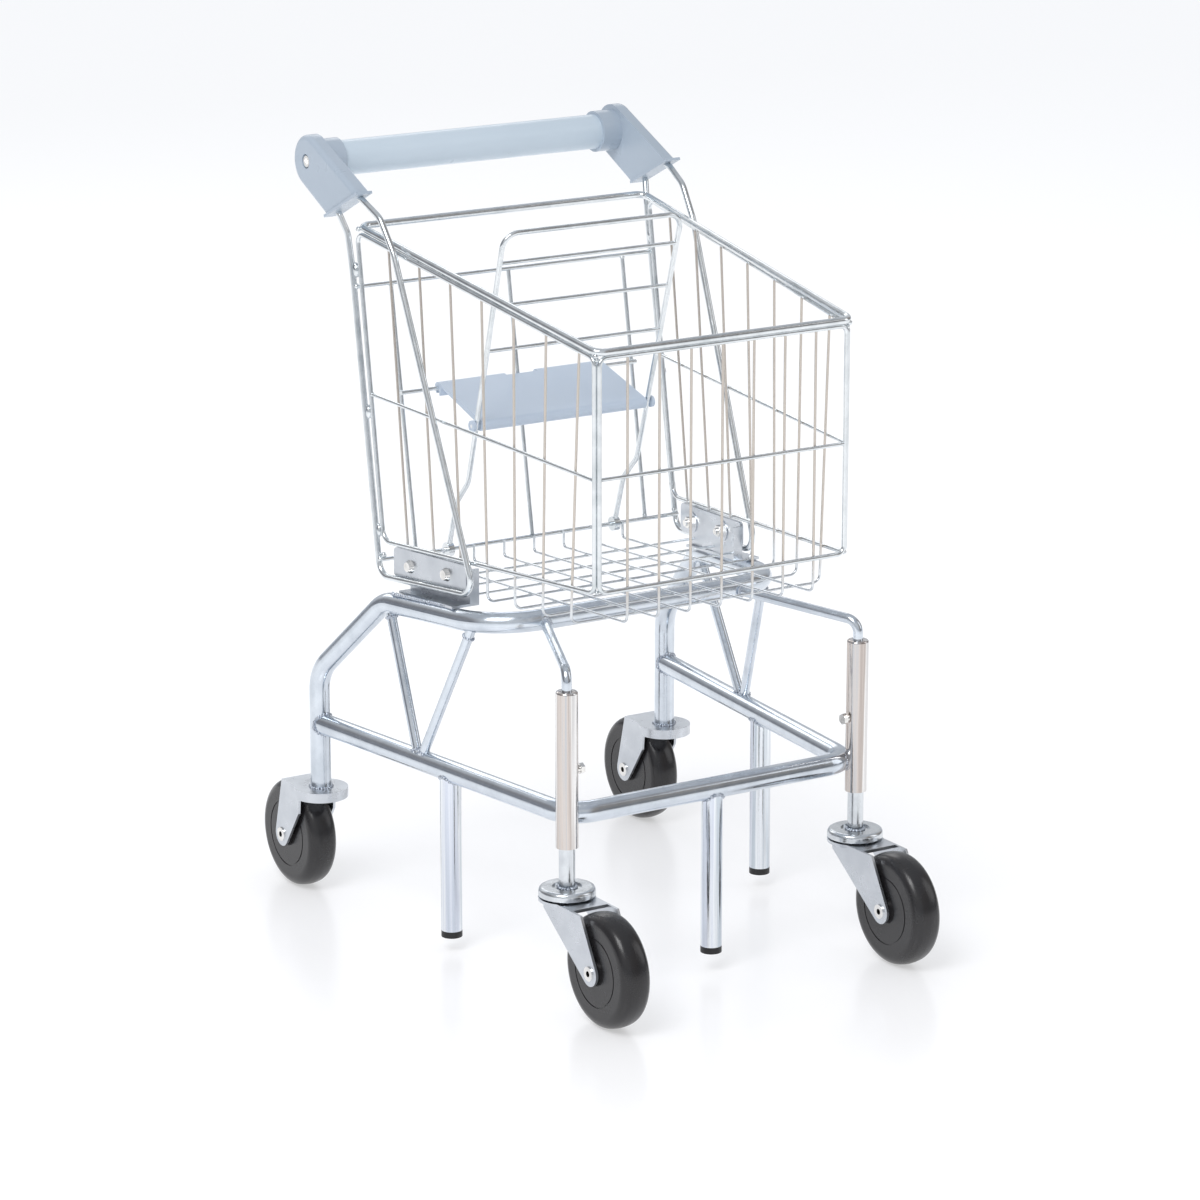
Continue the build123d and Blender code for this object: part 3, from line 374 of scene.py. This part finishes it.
# ---------------------------------------------------------------- welds of the basket
SIDE_TOP = (v(130.25, 146.5, 523.5), v(109.0, -152.6, 478.8))
SIDE_LOW = (v(131.0, 111.0, 292.3), v(108.9, -152.6, 308.0))
SIDE_RAIL = (v(130.3, 126.2, 402.7), v(108.9, -150.8, 390.6))
SIDE_RAIL_Z = 402
SIDE_WIRES = ((109, 83), (69, 49), (29, 15), (-11, -19), (-51, -53), (-91, -87), (-131, -121))
REAR_POST = (SIDE_TOP[0], SIDE_LOW[0])
LOOP_REAR = (v(134.1, 111.4, 265.5), v(132.9, 149.8, 495.0))
LOOP_WELDS = ((495, 3.0), (389, 2.9), (300, 2.6))
CORNER_WELDS = (
    (v(109.0, -154.4, 480.9), 2.0),
    (v(128.4, 147.9, 525.6), 2.0),
    (v(107.6, -153.8, 308.6), 1.7),
    (v(107.7, -153.8, 478.0), 1.8),
    (v(109.0, -151.2, 390.6), 1.9),
    (v(105.6, -154.6, 391.0), 1.6),
    (v(130.4, 126.9, 402.7), 1.8),
    (v(131.4, 110.6, 281.6), 2.2),
    (v(103.5, 110.1, 281.0), 1.9),
    (v(103.5, 143.3, 480.6), 1.9),
    (v(103.5, 128.3, 400.9), 1.9),
    (v(132.0, 145.9, 482.7), 2.1),
    (v(133.6, 111.6, 278.4), 2.2),
)
FRONT_PITCH = 27
CROSSING_ROWS = (-121, -87, -53, -19, 75, 40, 10)

bm = bmesh.new()


def front_wire_welds(x):
    """Where a front wire meets the top of its frame, the mid rail, the low frame and the rear wire."""
    return v(x, -153.7, 479.1), v(x, -153.6, 391.0), v(x, -153.7, 308.0), v(x, 108.0, 278.4)


def crossing(x, y):
    """Where a wire along the floor lies on a wire across it."""
    return v(x, y, 272.1 - 0.06 * y)


def basket_welds(flip):
    """Spot welds of one side of the basket."""
    for top_y, low_y in SIDE_WIRES:
        top = at_y(SIDE_TOP, top_y)
        low = at_y(SIDE_LOW, low_y)
        t = (SIDE_RAIL_Z * MM - top.z) / (low.z - top.z)
        mid = at_y(SIDE_RAIL, top_y + (low_y - top_y) * t)
        bead(bm, flip(top - v(1.5, 0, 0)), 1.3)
        bead(bm, flip(low - v(1.5, 0, 0)), 1.3)
        bead(bm, flip(mid - v(1.2, 0, 0)), 1.2)
    for z, size in LOOP_WELDS:
        between = (at_z(REAR_POST, z) + at_z(LOOP_REAR, z)) / 2
        bead(bm, flip(between), size, (1.0, 1.0, 1.9), v(0, 37, 230))
        bead(bm, flip(between + v(0.3, 0.8, 3)), size * 0.7, (1, 1, 1.4), v(0, 37, 230))
    for place, size in CORNER_WELDS:
        bead(bm, flip(place), size)
    for k in (1, 2, 3):
        for place in front_wire_welds(FRONT_PITCH * k):
            bead(bm, flip(place), 1.25)
        for y in CROSSING_ROWS:
            bead(bm, flip(crossing(FRONT_PITCH * k, y)), 1.0)


both(basket_welds)
for place in (*front_wire_welds(0), v(0, 110.1, 281.0), v(0, 143.3, 480.6)):
    bead(bm, place, 1.3)
piece("welds_basket", bm, WIRE, "cart")

# the cross bars of the seat are welded to the inner sides of its two legs
SEAT_LEG = (v(74.0, 78.5, 337.0), v(76.4, 20.3, 537.0))
SEAT_BARS = (513.8, 479.8, 444.1, 384.0)

bm = bmesh.new()


def seat_welds(flip):
    """Spot welds on one leg of the seat frame."""
    for z in SEAT_BARS:
        bead(bm, flip(at_z(SEAT_LEG, z)), 1.5)


both(seat_welds)
piece("welds_seat", bm, WIRE, "seat_back")

# ---------------------------------------------------------------- camera
CAMERA_AZ = math.radians(-32.34)
CAMERA_EL = math.radians(15.20)
CAMERA_PLACE = Vector((-1.814, -2.853, 1.171))

back = Vector((
    math.sin(CAMERA_AZ) * math.cos(CAMERA_EL),
    -math.cos(CAMERA_AZ) * math.cos(CAMERA_EL),
    math.sin(CAMERA_EL),
))
right = Vector((math.cos(CAMERA_AZ), math.sin(CAMERA_AZ), 0))
turn = Matrix((right, back.cross(right), back)).transposed().to_4x4()
cam_data = bpy.data.cameras.new("camera")
cam_data.lens = 139.4
cam_data.sensor_width = 36
cam_data.clip_end = 60
cam = bpy.data.objects.new("camera", cam_data)
cam.matrix_world = Matrix.Translation(CAMERA_PLACE) @ turn
bpy.context.scene.collection.objects.link(cam)
bpy.context.scene.camera = cam


# ---------------------------------------------------------------- lights, floor and studio
def area(name, place, target, size, power, colour=(1, 1, 1)):
    """Rectangular soft light aimed at a target."""
    data = bpy.data.lights.new(name, "AREA")
    data.shape = "RECTANGLE"
    data.size, data.size_y = size
    data.energy = power
    data.color = colour
    lamp = bpy.data.objects.new(name, data)
    lamp.location = place
    lamp.rotation_euler = (Vector(target) - Vector(place)).to_track_quat("-Z", "Y").to_euler()
    bpy.context.scene.collection.objects.link(lamp)


area("key", (-1.6, -1.0, 2.4), (0, 0, 0.2), (1.3, 1.3), 32)
area("fill", (2.4, -1.6, 1.6), (0, 0, 0.3), (1.2, 2.0), 9, (0.97, 0.98, 1.0))
area("rim", (0.6, 2.6, 2.0), (0, 0, 0.3), (2.4, 1.2), 12)

FLOOR_HALF = 20
# painted shade: the floor is greyer within this distance of the middle, fading to the far colour
FLOOR_SHADE_NEAR = (0.25, (0.63, 0.63, 0.645))
FLOOR_FAR = (0.60, (0.82, 0.82, 0.82))


def make_floor():
    """Wide glossy pale floor, with painted shade: a little greyer near the cart."""
    corners = [(x * FLOOR_HALF, y * FLOOR_HALF, 0) for x, y in ((-1, -1), (1, -1), (1, 1), (-1, 1))]
    mesh = bpy.data.meshes.new("floor")
    mesh.from_pydata(corners, [], [(0, 1, 2, 3)])
    material, nt, bsdf = new_material("floor_white")
    coord = nt.nodes.new("ShaderNodeTexCoord")
    reach = nt.nodes.new("ShaderNodeVectorMath")
    reach.operation = "LENGTH"
    nt.links.new(coord.outputs["Object"], reach.inputs[0])
    nt.links.new(ramp(nt, reach.outputs["Value"], [FLOOR_SHADE_NEAR, FLOOR_FAR]), bsdf.inputs["Base Color"])
    bsdf.inputs["Roughness"].default_value = 0.22
    bsdf.inputs["Emission Color"].default_value = (1, 1, 1, 1)
    bsdf.inputs["Emission Strength"].default_value = 0.46
    mesh.materials.append(material)
    floor = bpy.data.objects.new("floor", mesh)
    bpy.context.scene.collection.objects.link(floor)
    return floor


floor = make_floor()

# the studio's brightness goes by height, and two darker sides give the metal its edges
SKY = [
    (0.0, (0.62, 0.66, 0.72)),
    (0.12, (0.82, 0.85, 0.90)),
    (0.45, (1, 1, 1)),
    (0.8, (0.72, 0.75, 0.80)),
    (1.0, (0.9, 0.92, 0.95)),
]
SIDES_AXIS = (0.845, -0.535, 0)
SIDES = [
    (0.0, (0.50, 0.50, 0.52)),
    (0.07, (0.40, 0.39, 0.40)),
    (0.17, (1, 1, 1)),
    (0.74, (0.95, 0.96, 0.98)),
    (0.86, (0.50, 0.45, 0.41)),
    (0.95, (0.40, 0.39, 0.38)),
    (1.0, (0.55, 0.55, 0.57)),
]
STUDIO_STRENGTH = 0.68


def make_studio():
    """World light of the studio."""
    world = bpy.data.worlds.new("studio")
    world.use_nodes = True
    bpy.context.scene.world = world
    nt = world.node_tree
    coord = nt.nodes.new("ShaderNodeTexCoord")
    split = nt.nodes.new("ShaderNodeSeparateXYZ")
    nt.links.new(coord.outputs["Generated"], split.inputs["Vector"])
    across = nt.nodes.new("ShaderNodeVectorMath")
    across.operation = "DOT_PRODUCT"
    across.inputs[1].default_value = SIDES_AXIS
    nt.links.new(coord.outputs["Generated"], across.inputs[0])
    shift = nt.nodes.new("ShaderNodeMapRange")
    shift.inputs["From Min"].default_value = -1
    nt.links.new(across.outputs["Value"], shift.inputs["Value"])
    sky = ramp(nt, split.outputs["Z"], SKY)
    sides = ramp(nt, shift.outputs["Result"], SIDES)
    background = nt.nodes["Background"]
    nt.links.new(mix_colours(nt, 1, sky, sides, "MULTIPLY"), background.inputs["Color"])
    background.inputs["Strength"].default_value = STUDIO_STRENGTH


make_studio()
bpy.context.scene.view_settings.view_transform = "Standard"
